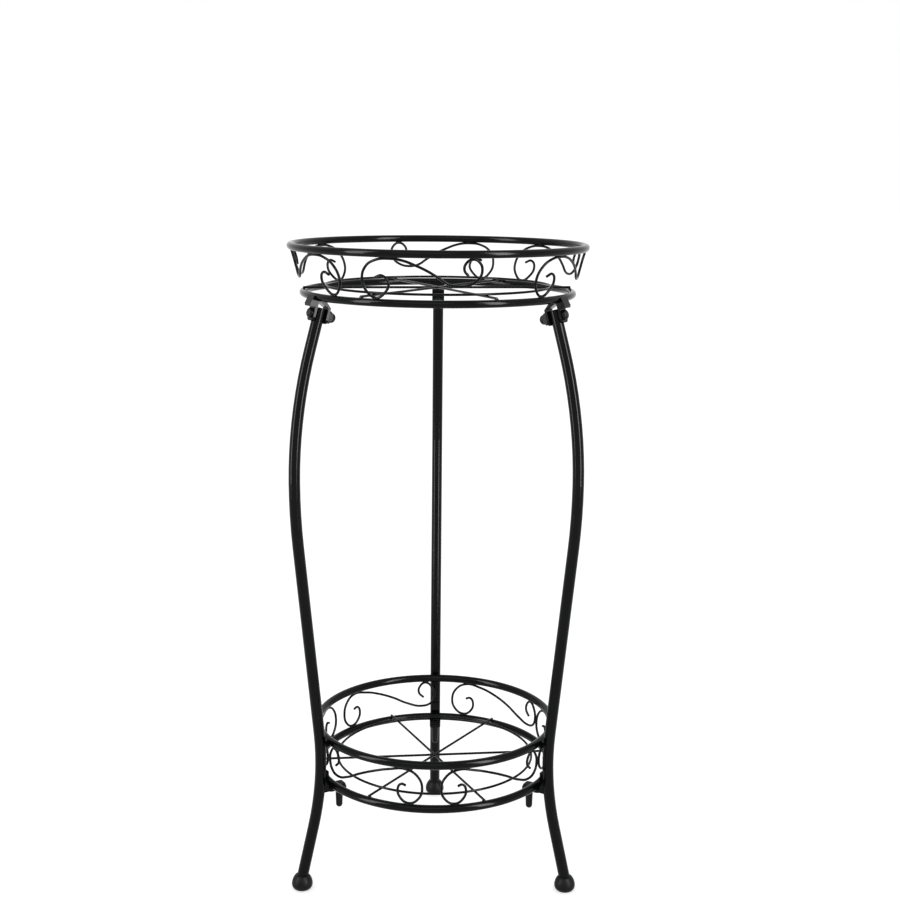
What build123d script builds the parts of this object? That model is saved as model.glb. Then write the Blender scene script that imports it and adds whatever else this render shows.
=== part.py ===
from build123d import *
import os
from math import cos, pi, radians, sin, sqrt, tan

os.makedirs("parts", exist_ok=True)

# Two-tier plant stand: three bowed tube legs carry two round trays.
# Each tray is a shelf ring and a gallery ring with a band of scrollwork between them.
# Millimetres, +Z up. The origin is on the floor under the centre of the stand's outline.
# Azimuths are degrees from +X seen from above, and the front is at 270.

# Legs
leg_azimuths = {"back": 90, "left": 210, "right": 330}
leg_tube_r = 7.0
leg_wall = 1.5
foot_end_z = 8.0
foot_tilt = 14.0
waist_r = 163.1
waist_z = 165.0
waist_bend = 350.0
rise_tilt = 6.0
bulge_z = 520.0
low_bulge_bend = 760.0
high_bulge_bend = 580.0
top_tilt = 16.0
leg_top_z = 726.5

# Foot caps
cap_r = 13.0
cap_belly_z = 6.5
cap_base_r = 9.5
cap_height = 18.0
cap_neck_r = 8.4
cap_axis_r = 190.0

# Trays
ring_gap = 56.0
top_shelf_r = 164.0
top_gallery_r = 179.0
top_rod_r = 4.5
top_gallery_z = 795.5
lower_shelf_r = 149.5
lower_gallery_r = 150.5
lower_rod_r = 5.0
lower_shelf_z = 132.0
weld_sink = 0.3

# Floor wires of a tray: crossing wires on the shelf ring, a thin ring on the wires
floor_wire_r = 1.5
floor_ring_ratio = 0.84
floor_wire_azimuths = (238, 294, 186)

# Scrollwork, the same bent wire everywhere, in mirrored pairs
scroll_wire_r = 1.6
pair_step = 120
lower_pair_azimuth = 270
top_pair_azimuth = 237

# Upper leg brackets, bolts and cap nuts
bolt_z = 718.5
bolt_r = 3.0
bolt_hole_r = 3.25
ear_t = 3.0
ear_down = 9.0
bracket_w = 16.0
head_r = 6.0
head_t = 4.6
nut_flats = 13.0
nut_t = 5.5
dome_r = 6.0

# Lower leg brackets, tray lugs, bolts and sleeve nuts
flange_t = 4.0
flange_w = 15.0
pad_w = 11.0
pad_top_z = 150.0
lower_bolt_axis_r = 138.0
flange_end_r = 130.5
lug_t = 3.5
lug_w = 14.0
lug_end_r = 147.0
pan_head_r = 5.5
pan_head_t = 3.5
sleeve_r = 4.8
sleeve_tip_r = 4.2
sleeve_end_z = 97.5
washer_r = 6.8
washer_t = 1.4
tab_t = 3.0
tab_w = 10.0

# Worked out from the driving sizes
top_shelf_z = top_gallery_z - ring_gap
lower_gallery_z = lower_shelf_z + ring_gap
front_reach = top_gallery_r + top_rod_r
back_reach = cap_axis_r + cap_r
axis_y = (front_reach - back_reach) / 2
flare_z = waist_z - waist_bend * sin(radians(foot_tilt))
flare_r = waist_r + waist_bend * (1 - cos(radians(foot_tilt)))
foot_end_r = flare_r + (flare_z - foot_end_z) * tan(radians(foot_tilt))
rise_z = waist_z + waist_bend * sin(radians(rise_tilt))
rise_r = waist_r + waist_bend * (1 - cos(radians(rise_tilt)))
bulge_start_z = bulge_z - low_bulge_bend * sin(radians(rise_tilt))
rise_run = (bulge_start_z - rise_z) / cos(radians(rise_tilt))
bulge_r = (rise_r + rise_run * sin(radians(rise_tilt))
           + low_bulge_bend * (1 - cos(radians(rise_tilt))))
bend_end_z = bulge_z + high_bulge_bend * sin(radians(top_tilt))
bend_end_r = bulge_r - high_bulge_bend * (1 - cos(radians(top_tilt)))
top_run = (leg_top_z - bend_end_z) / cos(radians(top_tilt))
bolt_axis_r = bend_end_r - (bolt_z - bend_end_z) * tan(radians(top_tilt))


def radial_plane(azimuth):
    """Upright plane through the stand's axis: x runs outwards and y runs up."""
    a = radians(azimuth)
    return Plane(origin=(0, axis_y, 0), x_dir=(cos(a), sin(a), 0), z_dir=(sin(a), -cos(a), 0))


def level(z):
    """Horizontal plane at a height, centred on the stand's axis."""
    return Plane(origin=(0, axis_y, z))


def bracket_plane(azimuth):
    """Upright plane at an upper bolt: x runs out along the bolt and y up along the leg."""
    upright = radial_plane(azimuth)
    centre = upright.from_local_coords((bolt_axis_r, bolt_z))
    out = upright.x_dir * cos(radians(top_tilt)) + Vector(0, 0, sin(radians(top_tilt)))
    return Plane(origin=centre, x_dir=out, z_dir=upright.z_dir)


def bolt_plane(azimuth):
    """Plane square to an upper bolt, with its normal pointing away from the stand."""
    clevis = bracket_plane(azimuth)
    return Plane(origin=clevis.origin, x_dir=clevis.y_dir, z_dir=clevis.x_dir)


def save(part, name):
    part.label = name
    export_step(part, f"parts/{name}.step")


def leg_centreline(azimuth):
    """Foot to top: flare, waist bend, straight rise, bowed bulge, straight top."""
    with BuildLine(radial_plane(azimuth)) as centreline:
        flare = Line((foot_end_r, foot_end_z), (flare_r, flare_z))
        waist = JernArc(flare @ 1, flare % 1, waist_bend, -(foot_tilt + rise_tilt))
        rise = Line(waist @ 1, waist @ 1 + waist % 1 * rise_run)
        low_bulge = JernArc(rise @ 1, rise % 1, low_bulge_bend, rise_tilt)
        high_bulge = JernArc(low_bulge @ 1, low_bulge % 1, high_bulge_bend, top_tilt)
        Line(high_bulge @ 1, high_bulge @ 1 + high_bulge % 1 * top_run)
    return centreline.line


def leg_blank(azimuth):
    """The leg's outer shape, solid, used to cut the seats of what is welded to it."""
    path = leg_centreline(azimuth)
    with BuildPart() as blank:
        with BuildSketch(Plane(origin=path @ 0, z_dir=path % 0)):
            Circle(leg_tube_r)
        sweep(path=path)
    return blank.part


leg_blanks = {name: leg_blank(azimuth) for name, azimuth in leg_azimuths.items()}

for name, azimuth in leg_azimuths.items():
    path = leg_centreline(azimuth)
    with BuildPart() as leg:
        with BuildSketch(Plane(origin=path @ 0, z_dir=path % 0)):
            Circle(leg_tube_r)
            Circle(leg_tube_r - leg_wall, mode=Mode.SUBTRACT)
        sweep(path=path)
        with BuildSketch(bolt_plane(azimuth)):
            Circle(bolt_hole_r)
        extrude(amount=2 * leg_tube_r, both=True, mode=Mode.SUBTRACT)
    save(leg.part, f"leg_{name}")

    with BuildPart() as foot_cap:
        with BuildSketch(radial_plane(azimuth)):
            with BuildLine():
                widest = (cap_axis_r + cap_r, cap_belly_z)
                heel = TangentArc(widest, (cap_axis_r + cap_base_r, 0), tangent=(0, -1))
                shoulder = TangentArc(widest, (cap_axis_r + cap_neck_r, cap_height), tangent=(0, 1))
                Polyline(heel @ 1, (cap_axis_r, 0), (cap_axis_r, cap_height), shoulder @ 1)
            make_face()
        cap_axis = Axis(radial_plane(azimuth).from_local_coords((cap_axis_r, 0)), (0, 0, 1))
        revolve(axis=cap_axis)
        add(leg_blanks[name], mode=Mode.SUBTRACT)
    save(foot_cap.part, f"foot_cap_{name}")


def rod_ring(ring_r, rod_r, z):
    """A closed ring of round rod, by its centreline radius."""
    with BuildPart() as ring:
        with BuildSketch(radial_plane(0)):
            with Locations((ring_r, z)):
                Circle(rod_r)
        revolve(axis=Axis((0, axis_y, 0), (0, 0, 1)))
    return ring.part


top_shelf_ring = rod_ring(top_shelf_r, top_rod_r, top_shelf_z)
save(top_shelf_ring, "top_shelf_ring")
top_gallery_ring = rod_ring(top_gallery_r, top_rod_r, top_gallery_z)
save(top_gallery_ring, "top_gallery_ring")
lower_shelf_ring = rod_ring(lower_shelf_r, lower_rod_r, lower_shelf_z)
save(lower_shelf_ring, "lower_shelf_ring")
lower_gallery_ring = rod_ring(lower_gallery_r, lower_rod_r, lower_gallery_z)
save(lower_gallery_ring, "lower_gallery_ring")

tray_floors = {
    "top": (top_shelf_ring, top_shelf_r, top_rod_r, top_shelf_z),
    "lower": (lower_shelf_ring, lower_shelf_r, lower_rod_r, lower_shelf_z),
}
for tray, (shelf_ring, shelf_r, rod_r, shelf_z) in tray_floors.items():
    # Three full-width wires cross at the centre and are welded down on the shelf ring.
    wire_z = shelf_z + rod_r + floor_wire_r - weld_sink
    with BuildPart() as floor_wires:
        for azimuth in floor_wire_azimuths:
            start = level(wire_z).from_local_coords(
                (shelf_r * cos(radians(azimuth)), shelf_r * sin(radians(azimuth)), 0))
            direction = Vector(-cos(radians(azimuth)), -sin(radians(azimuth)), 0)
            with BuildSketch(Plane(origin=start, z_dir=direction)):
                Circle(floor_wire_r)
            extrude(amount=2 * shelf_r)
        add(shelf_ring, mode=Mode.SUBTRACT)
    save(floor_wires.part, f"{tray}_floor_wires")

    thin_ring = rod_ring(floor_ring_ratio * shelf_r, floor_wire_r, wire_z + 2 * floor_wire_r - weld_sink)
    with BuildPart() as floor_ring:
        add(thin_ring)
        add(floor_wires.part, mode=Mode.SUBTRACT)
    save(floor_ring.part, f"{tray}_floor_ring")


# One scroll, laid flat: x runs along the band from the middle of its pair,
# y up from the shelf ring's centreline. Large spiral, long sweep, small curl.
scroll_points = [
    (31.0, 28.8), (37.0, 30.2), (41.3, 24.0), (38.0, 12.0), (27.5, 6.3), (15.6, 13.0), (11.3, 26.5),
    (16.8, 41.5), (31.0, 49.7), (52.0, 47.2), (72.0, 41.2), (95.0, 31.6), (116.0, 21.0), (136.0, 15.8),
    (149.5, 20.2), (154.2, 31.0), (150.0, 43.6), (141.5, 48.4), (133.4, 43.5), (132.6, 34.5), (139.0, 28.0),
]
with BuildLine() as scroll_layout:
    scroll_curve = Spline(*scroll_points)


def on_band(x, y, pair_azimuth, side, shelf_r, gallery_r, shelf_z):
    """Wrap a flat scroll point round the band between the two rings."""
    a = radians(pair_azimuth) + side * x / ((shelf_r + gallery_r) / 2)
    r = shelf_r + (gallery_r - shelf_r) * y / ring_gap
    return Vector(r * cos(a), axis_y + r * sin(a), shelf_z + y)


def wire_path(points, tangents):
    """Tangent arcs, two between each pair of points, with no kinks."""
    with BuildLine() as path:
        for p, q, t, s in zip(points, points[1:], tangents, tangents[1:]):
            chord = q - p
            square = 2 * (t.dot(s) - 1)
            linear = -2 * chord.dot(t + s)
            constant = chord.dot(chord)
            handle = (-linear - sqrt(linear ** 2 - 4 * square * constant)) / (2 * square)
            bend_in = p + t * handle
            bend_out = q - s * handle
            middle = (bend_in + bend_out) / 2
            TangentArc(p, middle, tangent=t)
            TangentArc(middle, q, tangent=(bend_out - bend_in).normalized())
    return path.line


def scroll(pair_azimuth, side, shelf_r, gallery_r, shelf_z):
    """One scroll wire, bent to the band."""
    step = 0.0005
    points = []
    tangents = []
    for point in scroll_points:
        u = scroll_curve.param_at_point(point)
        before = scroll_curve @ max(u - step, 0)
        after = scroll_curve @ min(u + step, 1)
        here = scroll_curve @ u
        place = (pair_azimuth, side, shelf_r, gallery_r, shelf_z)
        points.append(on_band(here.X, here.Y, *place))
        tangents.append((on_band(after.X, after.Y, *place) - on_band(before.X, before.Y, *place)).normalized())
    path = wire_path(points, tangents)
    with BuildPart() as wire:
        with BuildSketch(Plane(origin=path @ 0, z_dir=path % 0)):
            Circle(scroll_wire_r)
        sweep(path=path)
    return wire.part


tray_bands = {
    "top": (top_pair_azimuth, top_shelf_r, top_gallery_r, top_shelf_z, top_shelf_ring, top_gallery_ring),
    "lower": (lower_pair_azimuth, lower_shelf_r, lower_gallery_r, lower_shelf_z,
              lower_shelf_ring, lower_gallery_ring),
}
for tray, (first, shelf_r, gallery_r, shelf_z, shelf_ring, gallery_ring) in tray_bands.items():
    for index in range(6):
        pair_azimuth = first + pair_step * (index // 2)
        side = -1 if index % 2 == 0 else 1
        with BuildPart() as band_scroll:
            add(scroll(pair_azimuth, side, shelf_r, gallery_r, shelf_z))
            add(shelf_ring, mode=Mode.SUBTRACT)
            add(gallery_ring, mode=Mode.SUBTRACT)
        save(band_scroll.part, f"{tray}_scroll_{index + 1}")

# Upper brackets: a bent strip welded under the top shelf ring, with an ear each side of the leg.
ear_in = leg_tube_r
ear_out = leg_tube_r + ear_t
for name, azimuth in leg_azimuths.items():
    clevis = bracket_plane(azimuth)
    ring_centre = radial_plane(azimuth).from_local_coords((top_shelf_r, top_shelf_z))
    ring_at = clevis.to_local_coords(ring_centre)
    ring_x = ring_at.X
    ring_y = ring_at.Y
    with BuildPart() as top_bracket:
        with BuildSketch(clevis):
            with BuildLine():
                Polyline(
                    (ear_in, -ear_down),
                    (ear_out, -ear_down),
                    (ear_out, 8.0),
                    (ring_x + 7.5, 6.8),
                    (ring_x + 8.6, 9.8),
                    (ring_x + 6.0, ring_y + 0.5),
                    (ring_x - 6.0, ring_y + 2.0),
                    (-ear_out, 10.5),
                    (-ear_out, -ear_down),
                    (-ear_in, -ear_down),
                    (-ear_in, 10.0),
                    (ring_x - 4.2, ring_y - 5.0),
                    (ear_in, ring_y - 5.6),
                    close=True,
                )
            make_face()
        extrude(amount=bracket_w / 2, both=True)
        add(top_shelf_ring, mode=Mode.SUBTRACT)
        with BuildSketch(bolt_plane(azimuth)):
            Circle(bolt_hole_r)
        extrude(amount=2 * ear_out, both=True, mode=Mode.SUBTRACT)
        along_bolt = Axis(clevis.origin, clevis.x_dir)
        ear_corners = top_bracket.edges().filter_by(along_bolt).sort_by(Axis(clevis.origin, clevis.y_dir))[:4]
        fillet(ear_corners, radius=5.5)
    save(top_bracket.part, f"top_bracket_{name}")

# Upper bolts: a domed head outside the outer ear and a cap nut inside the inner one.
nut_end = ear_out + nut_t
with BuildPart() as top_bolts:
    for azimuth in leg_azimuths.values():
        clevis = bracket_plane(azimuth)
        with BuildSketch(clevis):
            with BuildLine():
                underside = Line((ear_out, 0), (ear_out, head_r))
                rim = Line(underside @ 1, (ear_out + 1.4, head_r))
                TangentArc(rim @ 1, (ear_out + head_t, 2.0), tangent=(1, 0))
                Polyline((ear_out + head_t, 2.0), (ear_out + head_t, 0), (ear_out, 0))
            make_face()
        revolve(axis=Axis(clevis.origin, clevis.x_dir))
        with BuildSketch(bolt_plane(azimuth).offset(-nut_end)):
            Circle(bolt_r)
        extrude(amount=nut_end + ear_out)
save(top_bolts.part, "top_bolts")

with BuildPart() as top_cap_nuts:
    for azimuth in leg_azimuths.values():
        clevis = bracket_plane(azimuth)
        with BuildSketch(bolt_plane(azimuth).offset(-ear_out)):
            RegularPolygon(radius=nut_flats / 2, side_count=6, major_radius=False)
        extrude(amount=-nut_t)
        with BuildSketch(clevis):
            with BuildLine():
                rim = Line((-nut_end, dome_r), (-nut_end - 1.0, dome_r))
                crown = TangentArc(rim @ 1, (-nut_end - dome_r, 1.0), tangent=(-1, 0))
                Polyline(crown @ 1, (-nut_end - dome_r, 0), (-nut_end, 0), (-nut_end, dome_r))
            make_face()
        revolve(axis=Axis(clevis.origin, clevis.x_dir))
    add(top_bolts.part, mode=Mode.SUBTRACT)
save(top_cap_nuts.part, "top_cap_nuts")

# Lower brackets: a pad against the leg and a flange that runs in under the lower shelf ring.
flange_top_z = lower_shelf_z - lower_rod_r
pad_face_r = lower_shelf_r + lower_rod_r + 0.1
for name, azimuth in leg_azimuths.items():
    upright = radial_plane(azimuth)
    with BuildPart() as lower_bracket:
        with BuildSketch(upright):
            with BuildLine():
                Polyline(
                    (flange_end_r, flange_top_z - flange_t),
                    (waist_r, flange_top_z - flange_t),
                    (waist_r, pad_top_z),
                    (pad_face_r, pad_top_z),
                    (pad_face_r, flange_top_z),
                    (flange_end_r, flange_top_z),
                    close=True,
                )
            make_face()
        extrude(amount=pad_w / 2, both=True)
        with BuildSketch(Plane(origin=upright.from_local_coords((0, flange_top_z)),
                               x_dir=upright.x_dir, z_dir=(0, 0, 1))):
            with Locations(((flange_end_r + pad_face_r) / 2, 0)):
                RectangleRounded(pad_face_r - flange_end_r, flange_w, 4.0)
            with Locations((lower_bolt_axis_r, 0)):
                Circle(bolt_hole_r, mode=Mode.SUBTRACT)
        extrude(amount=-flange_t)
        with BuildSketch(Plane(origin=upright.from_local_coords((lower_bolt_axis_r, flange_top_z)),
                               z_dir=(0, 0, 1))):
            Circle(bolt_hole_r)
        extrude(amount=-flange_t, mode=Mode.SUBTRACT)
        add(leg_blanks[name], mode=Mode.SUBTRACT)
        add(lower_shelf_ring, mode=Mode.SUBTRACT)
    save(lower_bracket.part, f"lower_bracket_{name}")

# Tray lugs: tongues welded to the inside of the lower shelf ring, one over each flange.
with BuildPart() as tray_lugs:
    for azimuth in leg_azimuths.values():
        upright = radial_plane(azimuth)
        lug_plane = Plane(origin=upright.from_local_coords((0, flange_top_z)),
                          x_dir=upright.x_dir, z_dir=(0, 0, 1))
        with BuildSketch(lug_plane):
            with Locations(((flange_end_r + lug_end_r) / 2, 0)):
                RectangleRounded(lug_end_r - flange_end_r, lug_w, 2.5)
            with Locations((lower_bolt_axis_r, 0)):
                Circle(bolt_hole_r, mode=Mode.SUBTRACT)
        extrude(amount=lug_t)
    add(lower_shelf_ring, mode=Mode.SUBTRACT)
save(tray_lugs.part, "tray_lugs")

# Lower bolts, down through lug and flange, each with a long sleeve nut below.
lug_top_z = flange_top_z + lug_t
nut_top_z = flange_top_z - flange_t
with BuildPart() as lower_bolts:
    for azimuth in leg_azimuths.values():
        upright = radial_plane(azimuth)
        bolt_axis = Axis(upright.from_local_coords((lower_bolt_axis_r, 0)), (0, 0, 1))
        head_top_z = lug_top_z + pan_head_t
        with BuildSketch(upright):
            with BuildLine():
                Polyline(
                    (lower_bolt_axis_r, head_top_z),
                    (lower_bolt_axis_r, nut_top_z - 10),
                    (lower_bolt_axis_r + bolt_r, nut_top_z - 10),
                    (lower_bolt_axis_r + bolt_r, lug_top_z),
                    (lower_bolt_axis_r + pan_head_r, lug_top_z),
                    (lower_bolt_axis_r + pan_head_r, lug_top_z + 1.0),
                )
                brow = TangentArc((lower_bolt_axis_r + pan_head_r, lug_top_z + 1.0),
                                  (lower_bolt_axis_r + 2.0, head_top_z), tangent=(0, 1))
                Line(brow @ 1, (lower_bolt_axis_r, head_top_z))
            make_face()
        revolve(axis=bolt_axis)
save(lower_bolts.part, "lower_bolts")

with BuildPart() as lower_sleeve_nuts:
    for azimuth in leg_azimuths.values():
        upright = radial_plane(azimuth)
        bolt_axis = Axis(upright.from_local_coords((lower_bolt_axis_r, 0)), (0, 0, 1))
        with BuildSketch(upright):
            with BuildLine():
                Polyline(
                    (lower_bolt_axis_r, sleeve_end_z),
                    (lower_bolt_axis_r, nut_top_z),
                    (lower_bolt_axis_r + washer_r, nut_top_z),
                    (lower_bolt_axis_r + washer_r, nut_top_z - washer_t),
                    (lower_bolt_axis_r + sleeve_r, nut_top_z - washer_t),
                    (lower_bolt_axis_r + sleeve_tip_r, sleeve_end_z + sleeve_tip_r),
                )
                TangentArc((lower_bolt_axis_r + sleeve_tip_r, sleeve_end_z + sleeve_tip_r),
                           (lower_bolt_axis_r, sleeve_end_z), tangent=(0, -1))
            make_face()
        revolve(axis=bolt_axis)
    add(lower_bolts.part, mode=Mode.SUBTRACT)
save(lower_sleeve_nuts.part, "lower_sleeve_nuts")

# Gallery tabs: small welded plates between the lower gallery ring and each leg.
tab_z = lower_gallery_z - lower_rod_r
with BuildPart() as gallery_tabs:
    for azimuth in leg_azimuths.values():
        upright = radial_plane(azimuth)
        with BuildSketch(Plane(origin=upright.from_local_coords((0, tab_z)), x_dir=upright.x_dir, z_dir=(0, 0, 1))):
            with Locations(((lower_gallery_r + waist_r) / 2, 0)):
                Rectangle(waist_r - lower_gallery_r, tab_w)
        extrude(amount=tab_t)
    add(lower_gallery_ring, mode=Mode.SUBTRACT)
    for blank in leg_blanks.values():
        add(blank, mode=Mode.SUBTRACT)
save(gallery_tabs.part, "gallery_tabs")
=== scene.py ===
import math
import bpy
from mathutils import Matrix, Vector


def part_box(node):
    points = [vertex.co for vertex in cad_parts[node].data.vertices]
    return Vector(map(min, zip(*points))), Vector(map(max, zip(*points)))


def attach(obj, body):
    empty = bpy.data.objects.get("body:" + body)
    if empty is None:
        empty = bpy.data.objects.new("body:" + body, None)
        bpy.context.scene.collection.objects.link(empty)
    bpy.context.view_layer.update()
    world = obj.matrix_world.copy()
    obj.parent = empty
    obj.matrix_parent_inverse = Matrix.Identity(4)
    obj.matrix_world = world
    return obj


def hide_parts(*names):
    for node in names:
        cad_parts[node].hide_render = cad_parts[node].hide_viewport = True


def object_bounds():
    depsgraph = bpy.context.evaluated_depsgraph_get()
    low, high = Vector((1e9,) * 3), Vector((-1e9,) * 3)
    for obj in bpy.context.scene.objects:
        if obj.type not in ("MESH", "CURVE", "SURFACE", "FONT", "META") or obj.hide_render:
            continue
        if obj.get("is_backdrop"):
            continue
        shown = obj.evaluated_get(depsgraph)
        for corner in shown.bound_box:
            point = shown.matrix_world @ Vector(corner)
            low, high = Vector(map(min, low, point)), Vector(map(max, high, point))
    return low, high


bl_info = {
    "name": "Two-Tier Plant Stand",
    "version": (1, 0, 0),
    "blender": (4, 5, 0),
    "location": "View3D > Sidebar > Plant Stand",
    "description": "Scroll wires, joints, welds, finishes and studio for a two-tier plant stand",
    "category": "Object",
}

import bmesh
import bpy
from mathutils import Matrix, Vector, noise
from mathutils.bvhtree import BVHTree

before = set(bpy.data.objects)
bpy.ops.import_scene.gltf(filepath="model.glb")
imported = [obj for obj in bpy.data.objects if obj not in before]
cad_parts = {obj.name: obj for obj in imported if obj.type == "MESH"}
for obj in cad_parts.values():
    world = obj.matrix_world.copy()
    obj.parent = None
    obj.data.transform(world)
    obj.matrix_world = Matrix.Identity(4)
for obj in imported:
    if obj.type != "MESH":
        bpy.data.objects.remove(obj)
cad_low, cad_high = (Vector(corner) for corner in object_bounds())

# The CAD nodes by finish. The scrolls, tray lugs and lower bolts aren't here, because pieces made below
# stand in for them.
STEELWORK = [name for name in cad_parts
             if not name.startswith("foot_cap") and not name.endswith(("bolts", "nuts"))
             and "scroll" not in name and name != "tray_lugs"]
FASTENERS = [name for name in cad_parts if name.endswith(("bolts", "nuts")) and name != "lower_bolts"]
FOOT_CAPS = [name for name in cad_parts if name.startswith("foot_cap")]
TRAYS = ("top", "lower")
LEGS = ("left", "right", "back")
# Each leg's direction from the stand's axis, in degrees from +X seen from above.
LEG_AZIMUTHS = {"back": 90, "left": 210, "right": 330}

# One scroll of each tray laid flat, in millimetres: x runs along the band from the outer side of the
# large spiral, y up from the middle of the shelf ring. Large spiral, long sweep, small far curl.
SCROLL_SHAPES = {
    "top": [(16.3, 28.6), (25.8, 31.1), (32.6, 23.0), (27.4, 12.0), (14.6, 5.6), (3.6, 13.0), (0.0, 25.8),
            (6.6, 40.6), (19.4, 48.4), (35.5, 50.4), (50.5, 48.6), (64.6, 43.4), (77.6, 37.2), (90.5, 29.4),
            (103.0, 21.8), (114.5, 20.0), (127.0, 22.6), (135.6, 29.4), (138.0, 38.4), (134.6, 46.6),
            (127.2, 50.4), (119.8, 46.6), (118.0, 38.4), (122.8, 32.2)],
    "lower": [(19.7, 28.8), (25.7, 30.2), (30.0, 24.0), (26.7, 12.0), (16.2, 6.3), (4.3, 13.0), (0.0, 26.5),
              (5.5, 41.5), (19.7, 49.7), (40.7, 47.2), (60.7, 41.2), (83.7, 31.6), (104.7, 21.0),
              (124.7, 15.8), (138.2, 20.2), (142.9, 31.0), (139.2, 43.0), (130.5, 49.7), (122.6, 44.4),
              (121.3, 35.4), (127.7, 28.4)],
}
# Where each scroll's large spiral starts, in degrees from +X seen from above, and which way it runs from
# there: 1 is anticlockwise.
SCROLL_PLACES = {
    "top": [(229.3, -1), (240.3, 1), (310.7, 1), (53.9, -1), (64.9, 1), (135.6, 1)],
    "lower": [(264.5, -1), (273.3, 1), (24.7, -1), (80.9, -1), (145.1, -1), (152.7, 1)],
}
MILLIMETRE = 0.001
# The Mix node's colour sockets share their names with its other sockets, so they go by number.
MIX_FACTOR, MIX_FIRST, MIX_SECOND, MIX_RESULT = 0, 6, 7, 2


def linear(hex_color):
    """The linear colour of an sRGB hex value."""
    channels = [int(hex_color[i:i + 2], 16) / 255 for i in (1, 3, 5)]
    return [c / 12.92 if c <= 0.04045 else ((c + 0.055) / 1.055) ** 2.4 for c in channels]


def add_node(tree, kind, settings=None, links=None):
    """Adds a node, sets its properties and input values, and links other sockets into it."""
    node = tree.nodes.new(kind)
    for name, value in (settings or {}).items():
        if name in node.inputs:
            node.inputs[name].default_value = value
        else:
            setattr(node, name, value)
    for name, source in (links or {}).items():
        tree.links.new(source, node.inputs[name])
    return node


def new_material(name):
    """An empty node material with its output node."""
    material = bpy.data.materials.new(name)
    material.use_nodes = True
    material.node_tree.nodes.clear()
    return material, add_node(material.node_tree, "ShaderNodeOutputMaterial")


def give_material(names, material):
    """Puts one material on CAD nodes, with smooth shading left as the frame has it."""
    for name in names:
        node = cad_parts[name]
        node.data.materials.clear()
        node.data.materials.append(material)


class PLANTSTAND_PG_finish(bpy.types.PropertyGroup):
    """Colours and surface sizes of the stand's finishes."""

    coat_color: bpy.props.FloatVectorProperty(
        name="Coat Colour", description="Colour of the baked powder coat", subtype="COLOR",
        default=linear("#070809"), min=0, max=1)
    coat_thin_color: bpy.props.FloatVectorProperty(
        name="Thin Coat Colour", description="Colour where the powder lies thinner", subtype="COLOR",
        default=linear("#0C0D0F"), min=0, max=1)
    coat_roughness: bpy.props.FloatProperty(
        name="Coat Roughness", description="Roughness of the baked powder coat", subtype="FACTOR",
        default=0.13, min=0, max=1)
    cloud_size: bpy.props.FloatProperty(
        name="Cloud Size", description="Width of one cloud of thicker powder", subtype="DISTANCE",
        unit="LENGTH", default=0.035, min=0.001)
    gloss_patch_size: bpy.props.FloatProperty(
        name="Gloss Patch Size", description="Width of one patch of the coat's gloss", subtype="DISTANCE",
        unit="LENGTH", default=0.012, min=0.001)
    peel_size: bpy.props.FloatProperty(
        name="Peel Size", description="Width of one wave of the coat's orange peel", subtype="DISTANCE",
        unit="LENGTH", default=0.0022, min=0.0001)
    weld_ripple_size: bpy.props.FloatProperty(
        name="Weld Ripple Size", description="Width of one ripple of weld metal under the coat",
        subtype="DISTANCE", unit="LENGTH", default=0.0012, min=0.0001)
    fastener_color: bpy.props.FloatVectorProperty(
        name="Fastener Colour", description="Colour of the blackened bolts and nuts", subtype="COLOR",
        default=linear("#0E0F10"), min=0, max=1)
    forming_mark_size: bpy.props.FloatProperty(
        name="Forming Mark Size", description="Width of one forming mark on a bolt or nut",
        subtype="DISTANCE", unit="LENGTH", default=0.0005, min=0.0001)
    blotch_size: bpy.props.FloatProperty(
        name="Blotch Size", description="Width of one blotch of the black film", subtype="DISTANCE",
        unit="LENGTH", default=0.004, min=0.0005)
    rubber_color: bpy.props.FloatVectorProperty(
        name="Rubber Colour", description="Colour of the moulded foot caps", subtype="COLOR",
        default=linear("#101011"), min=0, max=1)
    scuff_color: bpy.props.FloatVectorProperty(
        name="Scuff Colour", description="Colour of dust rubbed into the caps near the floor",
        subtype="COLOR", default=linear("#3A3936"), min=0, max=1)
    dust_height: bpy.props.FloatProperty(
        name="Dust Height", description="How far floor dust climbs up a cap", subtype="DISTANCE",
        unit="LENGTH", default=0.005, min=0.0005)
    dust_patch_size: bpy.props.FloatProperty(
        name="Dust Patch Size", description="Width of one patch of dust", subtype="DISTANCE",
        unit="LENGTH", default=0.003, min=0.0005)
    mould_grain_size: bpy.props.FloatProperty(
        name="Mould Grain Size", description="Width of one grain of the mould's surface",
        subtype="DISTANCE", unit="LENGTH", default=0.0006, min=0.0001)


class PLANTSTAND_PG_scrolls(bpy.types.PropertyGroup):
    """Wire of the scrollwork."""

    wire_radius: bpy.props.FloatProperty(
        name="Wire Radius", description="Half the thickness of the bent wire", subtype="DISTANCE",
        unit="LENGTH", default=0.0016, min=0.0002)


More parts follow.
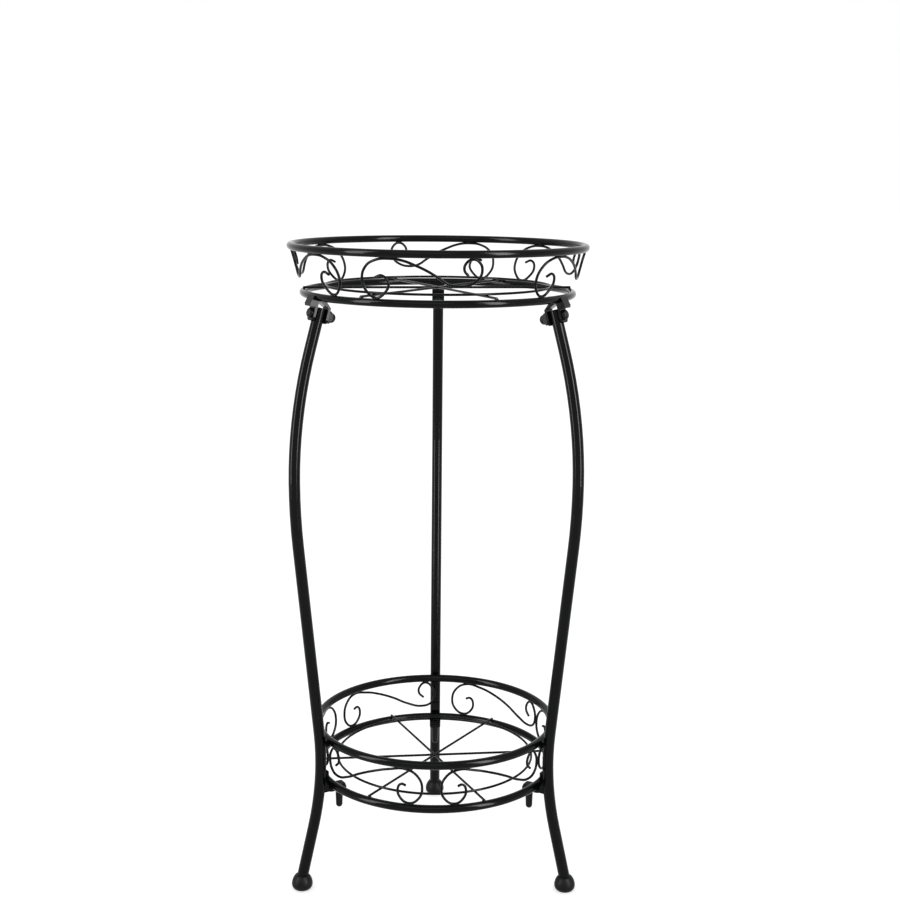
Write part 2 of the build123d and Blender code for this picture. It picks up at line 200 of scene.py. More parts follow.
class PLANTSTAND_PG_lower_joints(bpy.types.PropertyGroup):
    """Tongues of the lower tray and the flush bolts that hold them."""

    lug_thickness: bpy.props.FloatProperty(
        name="Lug Thickness", description="Thickness of a tongue", subtype="DISTANCE", unit="LENGTH",
        default=0.0024, min=0.0005)
    lug_width: bpy.props.FloatProperty(
        name="Lug Width", description="Width of a tongue along the ring", subtype="DISTANCE",
        unit="LENGTH", default=0.014, min=0.002)
    lug_overhang: bpy.props.FloatProperty(
        name="Lug Overhang", description="How far a tongue runs in past the bolt's middle",
        subtype="DISTANCE", unit="LENGTH", default=0.0066, min=0.001)
    lug_lap: bpy.props.FloatProperty(
        name="Lug Lap", description="How far a tongue runs out into the ring", subtype="DISTANCE",
        unit="LENGTH", default=0.0018, min=0.0)
    lug_corner: bpy.props.FloatProperty(
        name="Lug Corner", description="Radius of a tongue's inner corners", subtype="DISTANCE",
        unit="LENGTH", default=0.0025, min=0.0)
    head_radius: bpy.props.FloatProperty(
        name="Head Radius", description="Radius of the countersunk head", subtype="DISTANCE",
        unit="LENGTH", default=0.0052, min=0.001)
    shank_radius: bpy.props.FloatProperty(
        name="Shank Radius", description="Radius of the bolt's shank", subtype="DISTANCE",
        unit="LENGTH", default=0.003, min=0.001)
    shank_length: bpy.props.FloatProperty(
        name="Shank Length", description="How far the shank reaches down into the sleeve nut",
        subtype="DISTANCE", unit="LENGTH", default=0.01, min=0.001)
    rim_height: bpy.props.FloatProperty(
        name="Rim Height", description="How far the head's rim stands above the tongue",
        subtype="DISTANCE", unit="LENGTH", default=0.0002, min=0.0)
    rim_bevel: bpy.props.FloatProperty(
        name="Rim Bevel", description="Width of the bevel round the head's rim", subtype="DISTANCE",
        unit="LENGTH", default=0.0003, min=0.0)
    socket_flats: bpy.props.FloatProperty(
        name="Socket Flats", description="Width across the flats of the hexagon socket",
        subtype="DISTANCE", unit="LENGTH", default=0.004, min=0.001)
    socket_depth: bpy.props.FloatProperty(
        name="Socket Depth", description="Depth of the hexagon socket below the tongue's top",
        subtype="DISTANCE", unit="LENGTH", default=0.0014, min=0.0)
    seam_size: bpy.props.FloatVectorProperty(
        name="Seam Size", description="Length, width and height of the weld seam behind a tongue",
        subtype="XYZ", unit="LENGTH", default=(0.012, 0.003, 0.0018), min=0.0005)
    seam_place: bpy.props.FloatProperty(
        name="Seam Place", description="How far the seam's middle lies inside the ring's rod",
        subtype="DISTANCE", unit="LENGTH", default=0.0004, min=0.0)
    seam_ripple: bpy.props.FloatProperty(
        name="Seam Ripple", description="Height of the ripples on the seam", subtype="DISTANCE",
        unit="LENGTH", default=0.0002, min=0)


class PLANTSTAND_PG_welds(bpy.types.PropertyGroup):
    """Sizes of the weld beads."""

    scroll_bead_size: bpy.props.FloatVectorProperty(
        name="Scroll Bead Size", description="Length, width and height of a bead where a scroll meets a ring",
        subtype="XYZ", unit="LENGTH", default=(0.0085, 0.0036, 0.0022), min=0.0005)
    floor_bead_size: bpy.props.FloatVectorProperty(
        name="Floor Bead Size", description="Length, width and height of a bead under a floor wire",
        subtype="XYZ", unit="LENGTH", default=(0.0052, 0.0036, 0.0024), min=0.0005)
    seam_size: bpy.props.FloatVectorProperty(
        name="Seam Size", description="Longest length, width and height of a bracket's weld seam",
        subtype="XYZ", unit="LENGTH", default=(0.012, 0.0034, 0.0024), min=0.0005)
    ripple: bpy.props.FloatProperty(
        name="Ripple", description="Height of the ripples on a bead", subtype="DISTANCE",
        unit="LENGTH", default=0.00022, min=0)


class PLANTSTAND_PG_stage(bpy.types.PropertyGroup):
    """Floor, lamps and camera."""

    floor_size: bpy.props.FloatProperty(
        name="Floor Size", description="Side of the square floor", subtype="DISTANCE", unit="LENGTH",
        default=60.0, min=2)
    floor_color: bpy.props.FloatVectorProperty(
        name="Floor Colour", description="Colour of the pale floor", subtype="COLOR",
        default=linear("#F2F2F2"), min=0, max=1)
    floor_lift: bpy.props.FloatProperty(
        name="Floor Lift", description="Added white of the floor where it is seen directly",
        default=0.5, min=0)
    world_level: bpy.props.FloatProperty(
        name="World Level", description="Strength of the even studio light", default=0.7, min=0)
    key_power: bpy.props.FloatProperty(
        name="Key Power", description="Power of the large soft lamp in front", subtype="POWER",
        unit="POWER", default=14.0, min=0)
    right_card_power: bpy.props.FloatProperty(
        name="Right Card Power", description="Power of the card reflected on the right", subtype="POWER",
        unit="POWER", default=91.0, min=0)
    left_card_power: bpy.props.FloatProperty(
        name="Left Card Power", description="Power of the card reflected on the left", subtype="POWER",
        unit="POWER", default=63.0, min=0)
    lens: bpy.props.FloatProperty(
        name="Lens", description="Focal length on a 36 mm sensor, in millimetres", default=57.65, min=10)
    camera_place: bpy.props.FloatVectorProperty(
        name="Camera Place", description="Camera position", subtype="TRANSLATION", unit="LENGTH",
        default=(0.0040, -1.7756, 0.8890))
    camera_pan: bpy.props.FloatProperty(
        name="Camera Pan", description="How far the camera is turned to the left", subtype="ANGLE",
        unit="ROTATION", default=math.radians(-0.404))
    camera_pitch: bpy.props.FloatProperty(
        name="Camera Pitch", description="How far the camera looks down", subtype="ANGLE",
        unit="ROTATION", default=math.radians(11.095))
    camera_roll: bpy.props.FloatProperty(
        name="Camera Roll", description="How far the camera is turned about its own axis",
        subtype="ANGLE", unit="ROTATION", default=math.radians(0.52))


def powder_coat(name, settings, over_weld=False):
    """Polyester powder, sprayed on steel and baked: an even near-black skin with a fine orange peel.

    The peel breaks up the edges of reflections, and the coat is a little greyer where it is thin. Over
    weld metal the coat also follows the ripples of the bead.
    """
    material, output = new_material(name)
    tree = material.node_tree
    place = add_node(tree, "ShaderNodeTexCoord").outputs["Object"]
    # Cloudy change in powder thickness, about 35 mm across.
    clouds = add_node(tree, "ShaderNodeTexNoise", {"Scale": 1 / settings.cloud_size, "Detail": 3.0},
                      {"Vector": place})
    thickness = add_node(tree, "ShaderNodeMapRange",
                         {"From Min": 0.35, "From Max": 0.75, "To Min": 0.0, "To Max": 0.55},
                         {"Value": clouds.outputs["Fac"]})
    tone = add_node(tree, "ShaderNodeMix", {"data_type": "RGBA"})
    tone.inputs[MIX_FIRST].default_value = (*settings.coat_color, 1)
    tone.inputs[MIX_SECOND].default_value = (*settings.coat_thin_color, 1)
    tree.links.new(thickness.outputs["Result"], tone.inputs[MIX_FACTOR])
    # Baked powder levels out unevenly, so its gloss wanders a little over about 12 mm.
    gloss = add_node(tree, "ShaderNodeTexNoise", {"Scale": 1 / settings.gloss_patch_size, "Detail": 2.0},
                     {"Vector": place})
    roughness = add_node(tree, "ShaderNodeMapRange",
                         {"From Min": 0.3, "From Max": 0.7, "To Min": settings.coat_roughness - 0.03,
                          "To Max": settings.coat_roughness + 0.05},
                         {"Value": gloss.outputs["Fac"]})
    # Real orange peel is about 1 mm; it is drawn at about twice that, so that it shows.
    peel = add_node(tree, "ShaderNodeTexNoise", {"Scale": 1 / settings.peel_size, "Detail": 1.5},
                    {"Vector": place})
    bump = add_node(tree, "ShaderNodeBump", {"Strength": 0.12, "Distance": 0.0001},
                    {"Height": peel.outputs["Fac"]})
    if over_weld:
        ripples = add_node(tree, "ShaderNodeTexNoise",
                           {"Scale": 1 / settings.weld_ripple_size, "Detail": 2.0}, {"Vector": place})
        bump = add_node(tree, "ShaderNodeBump", {"Strength": 0.6, "Distance": 0.0003},
                        {"Height": ripples.outputs["Fac"], "Normal": bump.outputs["Normal"]})
    skin = add_node(tree, "ShaderNodeBsdfPrincipled",
                    {"Metallic": 0.0, "IOR": 1.5, "Specular IOR Level": 0.1},
                    {"Base Color": tone.outputs[MIX_RESULT], "Roughness": roughness.outputs["Result"],
                     "Normal": bump.outputs["Normal"]})
    tree.links.new(skin.outputs["BSDF"], output.inputs["Surface"])
    return material


def blackened_steel(name, settings):
    """Cold-formed steel fasteners, zinc plated and black passivated.

    A thin dark metal film: a sharper, slightly warmer glint than the powder coat, with fine forming marks.
    """
    material, output = new_material(name)
    tree = material.node_tree
    place = add_node(tree, "ShaderNodeTexCoord").outputs["Object"]
    # Forming marks are a few hundredths of a millimetre; drawn at 0.5 mm so that they show.
    marks = add_node(tree, "ShaderNodeTexNoise", {"Scale": 1 / settings.forming_mark_size, "Detail": 2.0},
                     {"Vector": place})
    # The black film is a little greyer in blotches about 4 mm across.
    blotches = add_node(tree, "ShaderNodeTexNoise", {"Scale": 1 / settings.blotch_size, "Detail": 3.0},
                        {"Vector": place})
    tone = add_node(tree, "ShaderNodeMix", {"data_type": "RGBA"})
    tone.inputs[MIX_FIRST].default_value = (*settings.fastener_color, 1)
    tone.inputs[MIX_SECOND].default_value = (*[1.6 * c for c in settings.fastener_color], 1)
    tree.links.new(blotches.outputs["Fac"], tone.inputs[MIX_FACTOR])
    roughness = add_node(tree, "ShaderNodeMapRange",
                         {"From Min": 0.3, "From Max": 0.7, "To Min": 0.26, "To Max": 0.4},
                         {"Value": blotches.outputs["Fac"]})
    bump = add_node(tree, "ShaderNodeBump", {"Strength": 0.2, "Distance": 0.00005},
                    {"Height": marks.outputs["Fac"]})
    skin = add_node(tree, "ShaderNodeBsdfPrincipled", {"Metallic": 0.1, "Specular IOR Level": 0.14},
                    {"Base Color": tone.outputs[MIX_RESULT], "Roughness": roughness.outputs["Result"],
                     "Normal": bump.outputs["Normal"]})
    tree.links.new(skin.outputs["BSDF"], output.inputs["Surface"])
    return material


def moulded_rubber(name, settings):
    """Black rubber, compression moulded: a soft satin black, dusty where it meets the floor."""
    material, output = new_material(name)
    tree = material.node_tree
    place = add_node(tree, "ShaderNodeTexCoord").outputs["Object"]
    height = add_node(tree, "ShaderNodeSeparateXYZ", None, {"Vector": place})
    # Floor dust climbs about 5 mm up the cap, in patches.
    near_floor = add_node(tree, "ShaderNodeMapRange",
                          {"From Min": 0.0, "From Max": settings.dust_height, "To Min": 0.7, "To Max": 0.0},
                          {"Value": height.outputs["Z"]})
    patches = add_node(tree, "ShaderNodeTexNoise", {"Scale": 1 / settings.dust_patch_size, "Detail": 4.0},
                       {"Vector": place})
    dust = add_node(tree, "ShaderNodeMath", {"operation": "MULTIPLY"})
    tree.links.new(near_floor.outputs["Result"], dust.inputs[0])
    tree.links.new(patches.outputs["Fac"], dust.inputs[1])
    tone = add_node(tree, "ShaderNodeMix", {"data_type": "RGBA"})
    tone.inputs[MIX_FIRST].default_value = (*settings.rubber_color, 1)
    tone.inputs[MIX_SECOND].default_value = (*settings.scuff_color, 1)
    tree.links.new(dust.outputs["Value"], tone.inputs[MIX_FACTOR])
    # The mould's spark-eroded grain is about 0.1 mm; drawn at 0.6 mm so that it shows.
    grain = add_node(tree, "ShaderNodeTexNoise", {"Scale": 1 / settings.mould_grain_size, "Detail": 2.0},
                     {"Vector": place})
    bump = add_node(tree, "ShaderNodeBump", {"Strength": 0.3, "Distance": 0.00008},
                    {"Height": grain.outputs["Fac"]})
    roughness = add_node(tree, "ShaderNodeMapRange",
                         {"From Min": 0.3, "From Max": 0.7, "To Min": 0.38, "To Max": 0.55},
                         {"Value": patches.outputs["Fac"]})
    skin = add_node(tree, "ShaderNodeBsdfPrincipled", {"IOR": 1.52, "Specular IOR Level": 0.1},
                    {"Base Color": tone.outputs[MIX_RESULT], "Roughness": roughness.outputs["Result"],
                     "Normal": bump.outputs["Normal"]})
    tree.links.new(skin.outputs["BSDF"], output.inputs["Surface"])
    return material


class PLANTSTAND_OT_finish_steelwork(bpy.types.Operator):
    """Powder-coats the legs, rings, floors, brackets and tabs"""

    bl_idname = "plantstand.finish_steelwork"
    bl_label = "Finish Steelwork"

    def execute(self, context):
        coat = powder_coat("baked_black_powder_coat", context.scene.plantstand_finish)
        give_material(STEELWORK, coat)
        return {"FINISHED"}


class PLANTSTAND_OT_finish_fasteners(bpy.types.Operator):
    """Blackens the upper bolts, the cap nuts and the sleeve nuts"""

    bl_idname = "plantstand.finish_fasteners"
    bl_label = "Finish Fasteners"

    def execute(self, context):
        black = blackened_steel("black_passivated_steel", context.scene.plantstand_finish)
        give_material(FASTENERS, black)
        return {"FINISHED"}


class PLANTSTAND_OT_finish_foot_caps(bpy.types.Operator):
    """Gives the foot caps their moulded rubber"""

    bl_idname = "plantstand.finish_foot_caps"
    bl_label = "Finish Foot Caps"

    def execute(self, context):
        rubber = moulded_rubber("compression_moulded_rubber", context.scene.plantstand_finish)
        give_material(FOOT_CAPS, rubber)
        return {"FINISHED"}


def ring_sizes(name):
    """Radius, rod radius and middle of a CAD ring, read from its box."""
    low, high = (Vector(corner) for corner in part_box(name))
    rod = (high.z - low.z) / 2
    return (high.x - low.x) / 2 - rod, rod, (low + high) / 2


class ScrollBand:
    """The band between a tray's two rings, which its scrolls are bent round."""

    def __init__(self, tray):
        self.shelf_radius, self.shelf_rod, self.shelf_middle = ring_sizes(f"{tray}_shelf_ring")
        self.gallery_radius, self.gallery_rod, self.gallery_middle = ring_sizes(f"{tray}_gallery_ring")
        self.height = self.gallery_middle.z - self.shelf_middle.z

    def around(self, azimuth, radius, height):
        """A point at an azimuth in radians, a radius and a height above the shelf ring's middle."""
        return self.shelf_middle + Vector((radius * math.cos(azimuth), radius * math.sin(azimuth), height))

    def wrap(self, x, y, start, direction):
        """A flat scroll point in metres, bent round the band from a start azimuth in radians."""
        azimuth = start + direction * x / ((self.shelf_radius + self.gallery_radius) / 2)
        slope = (self.gallery_radius - self.shelf_radius) / self.height
        return self.around(azimuth, self.shelf_radius + slope * y, y), azimuth


class PLANTSTAND_OT_bend_scrolls(bpy.types.Operator):
    """Bends the six scroll wires of each tray and stands them between the rings"""

    bl_idname = "plantstand.bend_scrolls"
    bl_label = "Bend Scrolls"

    def execute(self, context):
        radius = context.scene.plantstand_scrolls.wire_radius
        coat = bpy.data.materials["baked_black_powder_coat"]
        for tray in TRAYS:
            band = ScrollBand(tray)
            for index, (start, direction) in enumerate(SCROLL_PLACES[tray], 1):
                wire = bpy.data.curves.new(f"{tray}_bent_scroll_{index}", "CURVE")
                wire.dimensions = "3D"
                wire.resolution_u = 10
                wire.bevel_depth = radius
                wire.bevel_resolution = 4
                wire.use_fill_caps = True
                spline = wire.splines.new("BEZIER")
                spline.bezier_points.add(len(SCROLL_SHAPES[tray]) - 1)
                for knot, (x, y) in zip(spline.bezier_points, SCROLL_SHAPES[tray]):
                    knot.co, _ = band.wrap(x * MILLIMETRE, y * MILLIMETRE, math.radians(start), direction)
                    knot.handle_left_type = "AUTO"
                    knot.handle_right_type = "AUTO"
                wire.materials.append(coat)
                piece = bpy.data.objects.new(wire.name, wire)
                context.collection.objects.link(piece)
                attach(piece, "root")
                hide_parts(f"{tray}_scroll_{index}")
        return {"FINISHED"}


def surface_of(name):
    """A search tree over a CAD node's surface."""
    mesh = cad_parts[name].data
    return BVHTree.FromPolygons([v.co for v in mesh.vertices], [p.vertices for p in mesh.polygons])


def touching_places(name, surface, apart, reach=0.00012):
    """Centre, direction and length of each place where a CAD node meets another node's surface.

    Points of the node within reach of the surface touch it, and those nearer than apart share a place.
    """
    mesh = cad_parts[name].data
    groups = []
    for vertex in mesh.vertices:
        if surface.find_nearest(vertex.co, reach)[0] is not None:
            for group in groups:
                if min((vertex.co - other).length for other in group) < apart:
                    group.append(vertex.co.copy())
                    break
            else:
                groups.append([vertex.co.copy()])
    places = []
    for group in groups:
        centre = sum(group, Vector()) / len(group)
        far = max(group, key=lambda point: (point - centre).length)
        places.append((centre, (far - centre).normalized(), 2 * (far - centre).length))
    return places


def add_bead(mesh, centre, direction, size, ripple, seed):
    """A lumpy bead of weld metal with ripples across it, its length along one direction."""
    length, width, height = size
    # Lumps a third of the bead long change its size by up to 12 percent, and some 5 ripples cross it.
    lumps_across = 3
    lumpiness = 0.12
    ripple_turn = 34
    ball = bmesh.ops.create_icosphere(mesh, subdivisions=3, radius=0.5)["verts"]
    up = Vector((0, 0, 1)) if abs(direction.z) < 0.9 else Vector((1, 0, 0))
    side = direction.cross(up).normalized()
    turn = Matrix((direction, side, direction.cross(side))).transposed()
    for vertex in ball:
        shape = vertex.co.copy()
        lump = 1 + lumpiness * noise.noise(shape * lumps_across + Vector((seed, 0, 0)))
        point = Vector((shape.x * length, shape.y * width, shape.z * height)) * lump
        point += shape.normalized() * ripple * math.sin(point.x / length * ripple_turn)
        vertex.co = centre + turn @ point


def finish_piece(name, mesh, material, sharp=None):
    """Turns a bmesh into a shown piece that rides on the stand, with edges past an angle kept sharp."""
    data = bpy.data.meshes.new(name)
    mesh.to_mesh(data)
    mesh.free()
    data.materials.append(material)
    for polygon in data.polygons:
        polygon.use_smooth = True
    if sharp:
        data.set_sharp_from_angle(angle=sharp)
    piece = bpy.data.objects.new(name, data)
    bpy.context.collection.objects.link(piece)
    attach(piece, "root")


class PLANTSTAND_OT_weld_scrolls(bpy.types.Operator):
    """Lays weld beads where the scroll wires meet the rings of both trays"""

    bl_idname = "plantstand.weld_scrolls"
    bl_label = "Weld Scrolls"

    def execute(self, context):
        welds = context.scene.plantstand_welds
        radius = context.scene.plantstand_scrolls.wire_radius
        coat = powder_coat("powder_coat_over_weld", context.scene.plantstand_finish, over_weld=True)
        for tray in TRAYS:
            band = ScrollBand(tray)
            rings = ((0, band.shelf_radius, band.shelf_rod),
                     (band.height, band.gallery_radius, band.gallery_rod))
            mesh = bmesh.new()
            count = 0
            for start, direction in SCROLL_PLACES[tray]:
                for x, y in SCROLL_SHAPES[tray]:
                    wire, azimuth = band.wrap(x * MILLIMETRE, y * MILLIMETRE, math.radians(start), direction)
                    for height, ring_radius, rod in rings:
                        rod_middle = band.around(azimuth, ring_radius, height)
                        if (wire - rod_middle).length < rod + radius:
                            place = rod_middle + (wire - rod_middle).normalized() * rod
                            tangent = Vector((-math.sin(azimuth), math.cos(azimuth), 0))
                            add_bead(mesh, place, tangent, welds.scroll_bead_size, welds.ripple, count)
                            count += 1
            if not count:
                raise RuntimeError(f"no place found where the {tray} scrolls meet their rings")
            finish_piece(f"{tray}_scroll_welds", mesh, coat)
        return {"FINISHED"}


class PLANTSTAND_OT_weld_floors(bpy.types.Operator):
    """Lays weld beads where the floor wires meet the shelf rings and the thin rings"""

    bl_idname = "plantstand.weld_floors"
    bl_label = "Weld Floors"

    def execute(self, context):
        welds = context.scene.plantstand_welds
        coat = bpy.data.materials["powder_coat_over_weld"]
        for tray in TRAYS:
            mesh = bmesh.new()
            count = 0
            for other in ("shelf_ring", "floor_ring"):
                surface = surface_of(f"{tray}_{other}")
                for centre, _, _ in touching_places(f"{tray}_floor_wires", surface, apart=0.012):
                    tangent = Vector((0, 0, 1)).cross(centre - Vector((0, 0, centre.z))).normalized()
                    add_bead(mesh, centre, tangent, welds.floor_bead_size, welds.ripple, count)
                    count += 1
            if not count:
                raise RuntimeError(f"no place found where the {tray} floor is welded")
            finish_piece(f"{tray}_floor_welds", mesh, coat)
        return {"FINISHED"}


class PLANTSTAND_OT_weld_brackets(bpy.types.Operator):
    """Lays weld seams along the brackets and tabs"""

    bl_idname = "plantstand.weld_brackets"
    bl_label = "Weld Brackets"

    def execute(self, context):
        welds = context.scene.plantstand_welds
        coat = bpy.data.materials["powder_coat_over_weld"]
        longest, width, height = welds.seam_size
        seams = {
            "top_bracket_welds": [(f"top_bracket_{leg}", "top_shelf_ring") for leg in LEGS],
            "lower_bracket_welds": [(f"lower_bracket_{leg}", f"leg_{leg}") for leg in LEGS],
            "tab_welds": [("gallery_tabs", "lower_gallery_ring")],
        }
        for name, pairs in seams.items():
            mesh = bmesh.new()
            count = 0
            for node, other in pairs:
                for centre, direction, length in touching_places(node, surface_of(other), apart=0.02):
                    seam = (min(length, longest), width, height)
                    add_bead(mesh, centre, direction, seam, welds.ripple, count)
                    count += 1
            if not count:
                raise RuntimeError(f"no place found for {name}")
            finish_piece(name, mesh, coat)
        return {"FINISHED"}


def add_turned(mesh, centre, rings, steps=36):
    """A turned solid about an upright axis, closed at both ends.

    Each ring is a radius, a height and whether it is a hexagon, when the radius is to its flats.
    """
    loops = []
    for radius, height, hexagon in rings:
        loop = []
        for step in range(steps):
            angle = 2 * math.pi * step / steps
            sixth = (angle + math.pi / 6) % (math.pi / 3) - math.pi / 6
            reach = radius / math.cos(sixth) if hexagon else radius
            point = Vector((reach * math.cos(angle), reach * math.sin(angle), height))
            loop.append(mesh.verts.new(centre + point))
        loops.append(loop)
    for lower, upper in zip(loops, loops[1:]):
        for step in range(steps):
            after = (step + 1) % steps
            mesh.faces.new((lower[step], lower[after], upper[after], upper[step]))
    mesh.faces.new(list(reversed(loops[0])))
    mesh.faces.new(loops[-1])


def add_tongue(mesh, middle, azimuth, inner, outer, width, corner, thickness):
    """A flat tongue that runs in from the ring, with two rounded inner corners."""
    out = Vector((math.cos(azimuth), math.sin(azimuth), 0))
    along = Vector((-out.y, out.x, 0))
    outline = [(outer, -width / 2), (outer, width / 2)]
    # Each corner is a quarter circle in five steps of 18 degrees.
    for side, first in ((1, 90), (-1, 180)):
        for step in range(6):
            angle = math.radians(first + 18 * step)
            outline.append((inner + corner + corner * math.cos(angle),
                            side * (width / 2 - corner) + corner * math.sin(angle)))
    face = mesh.faces.new([mesh.verts.new(middle + out * x + along * y) for x, y in outline])
    raised = bmesh.ops.extrude_face_region(mesh, geom=[face])["geom"]
    bmesh.ops.translate(mesh, vec=(0, 0, thickness),
                        verts=[part for part in raised if isinstance(part, bmesh.types.BMVert)])
    bmesh.ops.recalc_face_normals(mesh, faces=mesh.faces)


class PLANTSTAND_OT_build_lower_joints(bpy.types.Operator):
    """Makes the lower tray's tongues and the flush bolts that go down through them"""

    bl_idname = "plantstand.build_lower_joints"
    bl_label = "Build Lower Joints"

    def execute(self, context):
        joints = context.scene.plantstand_lower_joints
        ring_radius, rod, middle = ring_sizes("lower_shelf_ring")
        # The back leg's sleeve nut gives the bolts' distance from the stand's axis.
        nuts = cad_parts["lower_sleeve_nuts"].data
        back = [vertex.co.y - middle.y for vertex in nuts.vertices if vertex.co.y > middle.y]
        bolt_distance = (min(back) + max(back)) / 2
        # The tongues lie on the leg brackets' flanges, as the CAD lugs do.
        flange_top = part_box("tray_lugs")[0][2]
        nut_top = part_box("lower_sleeve_nuts")[1][2]
        top = flange_top + joints.lug_thickness
        lugs = bmesh.new()
        bolts = bmesh.new()
        seams = bmesh.new()
        for index, degrees in enumerate(LEG_AZIMUTHS.values()):
            azimuth = math.radians(degrees)
            add_tongue(lugs, Vector((middle.x, middle.y, flange_top)), azimuth,
                       bolt_distance - joints.lug_overhang, ring_radius - rod + joints.lug_lap,
                       joints.lug_width, joints.lug_corner, joints.lug_thickness)
            out = Vector((math.cos(azimuth), math.sin(azimuth), 0))
            axis = Vector((middle.x, middle.y, 0)) + out * bolt_distance
            # Shank, cone and rim of the head, then the socket's edge and its floor.
            add_turned(bolts, axis, [
                (joints.shank_radius, nut_top - joints.shank_length, False),
                (joints.shank_radius, top - joints.head_radius + joints.shank_radius, False),
                (joints.head_radius, top, False),
                (joints.head_radius - joints.rim_bevel, top + joints.rim_height, False),
                (joints.socket_flats / 2, top + joints.rim_height, True),
                (joints.socket_flats / 2, top - joints.socket_depth, True)])
            seam = Vector((middle.x, middle.y, top)) + out * (ring_radius - rod + joints.seam_place)
            add_bead(seams, seam, Vector((-out.y, out.x, 0)), joints.seam_size, joints.seam_ripple, index)
        crease = math.radians(30)
        finish_piece("thin_tray_lugs", lugs, bpy.data.materials["baked_black_powder_coat"], sharp=crease)
        finish_piece("flush_lower_bolts", bolts, bpy.data.materials["black_passivated_steel"],
                     sharp=crease)
        finish_piece("lug_welds", seams, bpy.data.materials["powder_coat_over_weld"])
        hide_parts("tray_lugs")
        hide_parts("lower_bolts")
        return {"FINISHED"}


def add_lamp(name, azimuth, rise, distance, width, height, power, gloss_only=False):
    """A rectangular lamp that looks at the stand.

    The azimuth is in degrees to the right of the front, and the rise in degrees above the stand's middle.
    A gloss-only lamp is a reflector card: it shows in the coat's reflections and lights nothing else.
    """
    target = (cad_low + cad_high) / 2
    a, e = math.radians(azimuth), math.radians(rise)
    away = Vector((math.sin(a) * math.cos(e), -math.cos(a) * math.cos(e), math.sin(e)))
    data = bpy.data.lights.new(name, "AREA")
    data.shape = "RECTANGLE"
    data.size = width
    data.size_y = height
    data.energy = power
    lamp = bpy.data.objects.new(name, data)
    lamp.location = target + away * distance
    lamp.rotation_euler = (-away).to_track_quat("-Z", "Y").to_euler()
    lamp.visible_diffuse = not gloss_only
    bpy.context.collection.objects.link(lamp)


def seen_directly(tree):
    """One for what the camera sees, also in a reflection or through glass, and zero for matt surfaces."""
    path = add_node(tree, "ShaderNodeLightPath")
    total = path.outputs["Is Camera Ray"]
    for ray in ("Is Glossy Ray", "Is Transmission Ray"):
        both = add_node(tree, "ShaderNodeMath", {"operation": "ADD", "use_clamp": True})
        tree.links.new(total, both.inputs[0])
        tree.links.new(path.outputs[ray], both.inputs[1])
        total = both.outputs["Value"]
    return total


def studio_floor_material(name, stage):
    """Matt white painted board: pure white where it is seen, and clear from below.

    It keeps the stand's shadow, and from below the stand's underside shows through it.
    """
    material, output = new_material(name)
    tree = material.node_tree
    matte = add_node(tree, "ShaderNodeBsdfDiffuse", {"Color": (*stage.floor_color, 1)})
    lift = add_node(tree, "ShaderNodeMath", {"operation": "MULTIPLY"}, {"Value": seen_directly(tree)})
    lift.inputs[1].default_value = stage.floor_lift
    glow = add_node(tree, "ShaderNodeEmission", None, {"Strength": lift.outputs["Value"]})
    both = add_node(tree, "ShaderNodeAddShader")
    tree.links.new(matte.outputs["BSDF"], both.inputs[0])
    tree.links.new(glow.outputs["Emission"], both.inputs[1])
    # The two shader sockets of each mixing node share one name, so they go by number.
    below = add_node(tree, "ShaderNodeNewGeometry").outputs["Backfacing"]
    clear = add_node(tree, "ShaderNodeBsdfTransparent")
    one_sided = add_node(tree, "ShaderNodeMixShader", None, {"Fac": below})
    tree.links.new(both.outputs["Shader"], one_sided.inputs[1])
    tree.links.new(clear.outputs["BSDF"], one_sided.inputs[2])
    tree.links.new(one_sided.outputs["Shader"], output.inputs["Surface"])
    return material


def even_studio_light(name, stage):
    """A world that lights the stand evenly and is pure white where it is seen."""
    world = bpy.data.worlds.new(name)
    world.use_nodes = True
    tree = world.node_tree
    tree.nodes.clear()
    level = add_node(tree, "ShaderNodeMapRange", {"To Min": stage.world_level, "To Max": 1.0},
                     {"Value": seen_directly(tree)})
    light = add_node(tree, "ShaderNodeBackground", {"Color": (1, 1, 1, 1)},
                     {"Strength": level.outputs["Result"]})
    add_node(tree, "ShaderNodeOutputWorld", None, {"Surface": light.outputs["Background"]})
    return world


class PLANTSTAND_OT_build_stage(bpy.types.Operator):
    """Lays the pale floor, sets the even studio light and places the lamps"""

    bl_idname = "plantstand.build_stage"
    bl_label = "Build Stage"

    def execute(self, context):
        stage = context.scene.plantstand_stage
        mesh = bmesh.new()
        bmesh.ops.create_grid(mesh, x_segments=1, y_segments=1, size=stage.floor_size / 2)
        data = bpy.data.meshes.new("studio_floor")
        mesh.to_mesh(data)
        mesh.free()
        data.materials.append(studio_floor_material("matte_white_studio_floor", stage))
        floor = bpy.data.objects.new("studio_floor", data)
        context.collection.objects.link(floor)
        floor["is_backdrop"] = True
        context.scene.world = even_studio_light("studio_light", stage)
        add_lamp("front_softbox", azimuth=-12, rise=38, distance=3.2, width=2.2, height=1.6,
                 power=stage.key_power)
        # The cards draw the lines down the legs and the bright patches on the rings.
        add_lamp("right_card", azimuth=47, rise=20, distance=2.2, width=0.55, height=2.4,
                 power=stage.right_card_power, gloss_only=True)
        add_lamp("left_card", azimuth=-62, rise=20, distance=2.2, width=0.60, height=2.4,
                 power=stage.left_card_power, gloss_only=True)
        context.scene.view_settings.view_transform = "Standard"
        return {"FINISHED"}


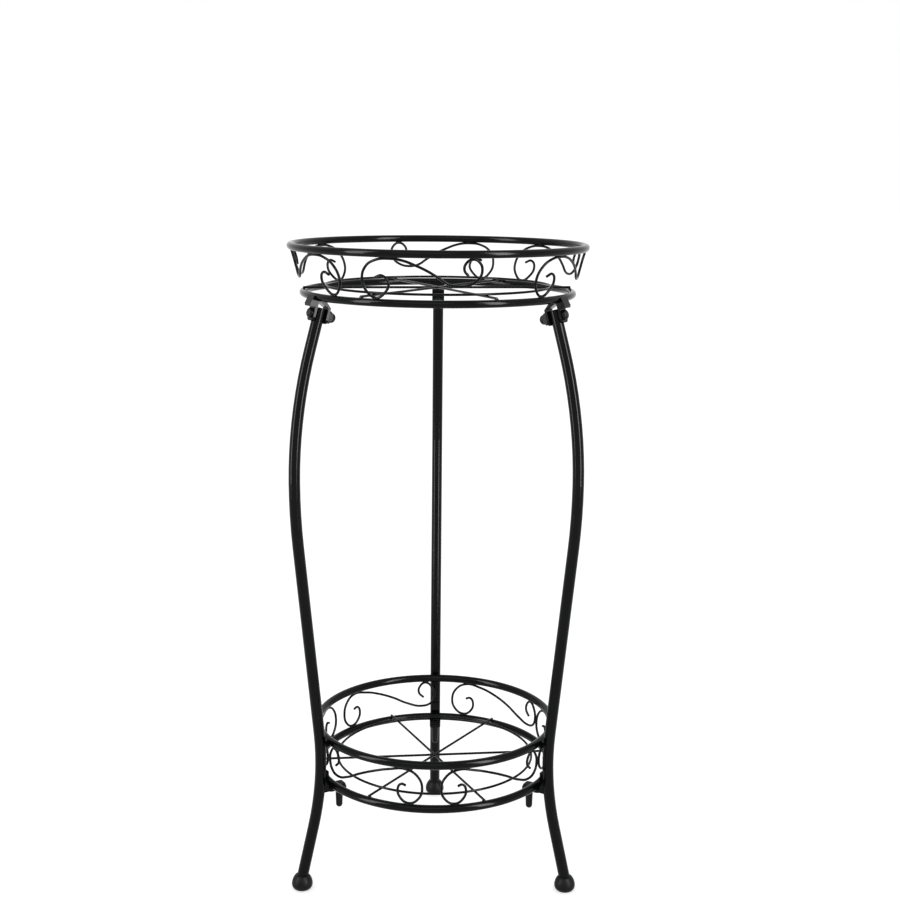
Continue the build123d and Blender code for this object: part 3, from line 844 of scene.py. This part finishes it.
class PLANTSTAND_OT_place_camera(bpy.types.Operator):
    """Places the camera at the photograph's angle"""

    bl_idname = "plantstand.place_camera"
    bl_label = "Place Camera"

    def execute(self, context):
        stage = context.scene.plantstand_stage
        data = bpy.data.cameras.new("front_camera")
        data.sensor_width = 36.0
        data.lens = stage.lens
        camera = bpy.data.objects.new("front_camera", data)
        camera.matrix_world = (Matrix.Translation(stage.camera_place)
                               @ Matrix.Rotation(stage.camera_pan, 4, "Z")
                               @ Matrix.Rotation(math.radians(90) - stage.camera_pitch, 4, "X")
                               @ Matrix.Rotation(stage.camera_roll, 4, "Z"))
        context.collection.objects.link(camera)
        context.scene.camera = camera
        return {"FINISHED"}


OPERATORS = (
    PLANTSTAND_OT_finish_steelwork,
    PLANTSTAND_OT_finish_fasteners,
    PLANTSTAND_OT_finish_foot_caps,
    PLANTSTAND_OT_bend_scrolls,
    PLANTSTAND_OT_weld_scrolls,
    PLANTSTAND_OT_weld_floors,
    PLANTSTAND_OT_weld_brackets,
    PLANTSTAND_OT_build_lower_joints,
    PLANTSTAND_OT_build_stage,
    PLANTSTAND_OT_place_camera,
)
SETTINGS = {
    "plantstand_finish": PLANTSTAND_PG_finish,
    "plantstand_scrolls": PLANTSTAND_PG_scrolls,
    "plantstand_lower_joints": PLANTSTAND_PG_lower_joints,
    "plantstand_welds": PLANTSTAND_PG_welds,
    "plantstand_stage": PLANTSTAND_PG_stage,
}


class PLANTSTAND_PT_panel(bpy.types.Panel):
    """Lists the steps in the sidebar"""

    bl_idname = "PLANTSTAND_PT_panel"
    bl_label = "Plant Stand"
    bl_space_type = "VIEW_3D"
    bl_region_type = "UI"
    bl_category = "Plant Stand"

    def draw(self, context):
        layout = self.layout
        for operator in OPERATORS:
            layout.operator(operator.bl_idname)
        for group in (getattr(context.scene, name) for name in SETTINGS):
            box = layout.box()
            for name in group.__annotations__:
                box.prop(group, name)


def register():
    for cls in (*SETTINGS.values(), *OPERATORS, PLANTSTAND_PT_panel):
        bpy.utils.register_class(cls)
    for name, group in SETTINGS.items():
        setattr(bpy.types.Scene, name, bpy.props.PointerProperty(type=group))


def unregister():
    for name in SETTINGS:
        delattr(bpy.types.Scene, name)
    for cls in reversed((*SETTINGS.values(), *OPERATORS, PLANTSTAND_PT_panel)):
        bpy.utils.unregister_class(cls)


def main():
    """Runs every step."""
    register()
    bpy.ops.plantstand.finish_steelwork()
    bpy.ops.plantstand.finish_fasteners()
    bpy.ops.plantstand.finish_foot_caps()
    bpy.ops.plantstand.bend_scrolls()
    bpy.ops.plantstand.weld_scrolls()
    bpy.ops.plantstand.weld_floors()
    bpy.ops.plantstand.weld_brackets()
    bpy.ops.plantstand.build_lower_joints()
    bpy.ops.plantstand.build_stage()
    bpy.ops.plantstand.place_camera()


if __name__ == "__main__":
    main()
